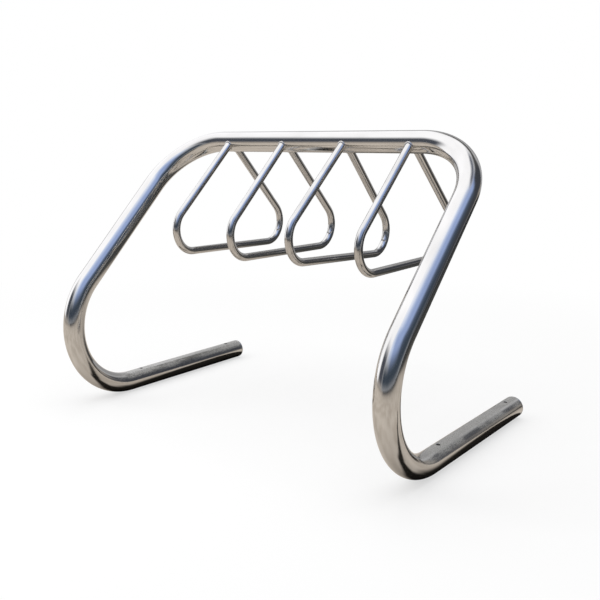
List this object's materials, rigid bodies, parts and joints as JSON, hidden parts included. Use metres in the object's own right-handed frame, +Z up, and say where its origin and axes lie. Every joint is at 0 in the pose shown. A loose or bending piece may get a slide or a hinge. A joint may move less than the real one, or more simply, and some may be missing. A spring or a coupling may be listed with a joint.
{
  "type": "bicycle hanger rack",
  "caption": "Free-standing or bolt-down bicycle rack: one bent stainless tube with a leaning frame, whose rail carries welded triangular hangers for bicycles.",
  "frame": {"origin": "on the ground in the middle of the footprint, midway between the two feet and midway between the front of the foot bends and the back of the end caps", "axes": "+X along the rail to the right as seen from the front, +Y back along the feet, +Z up"},
  "size_m": [1.1254, 0.7381, 0.8053],
  "materials": {
    "frame_steel": "polished stainless steel tube, bright, with fine polishing lines along the tube and slight weathering on the feet",
    "hanger_steel": "polished stainless steel round bar",
    "cap_steel": "brushed stainless steel end cap",
    "weld_metal": "ground and polished stainless weld bead"
  },
  "bodies": {
    "root": {"frame_tube": "frame_steel", "end_cap_left": "cap_steel", "end_cap_right": "cap_steel", "hanger_1": "hanger_steel", "hanger_2": "hanger_steel", "hanger_3": "hanger_steel", "hanger_4": "hanger_steel", "hanger_1_front_weld": "weld_metal", "hanger_1_back_weld": "weld_metal", "hanger_2_front_weld": "weld_metal", "hanger_2_back_weld": "weld_metal", "hanger_3_front_weld": "weld_metal", "hanger_3_back_weld": "weld_metal", "hanger_4_front_weld": "weld_metal", "hanger_4_back_weld": "weld_metal"}
  },
  "joints": []
}
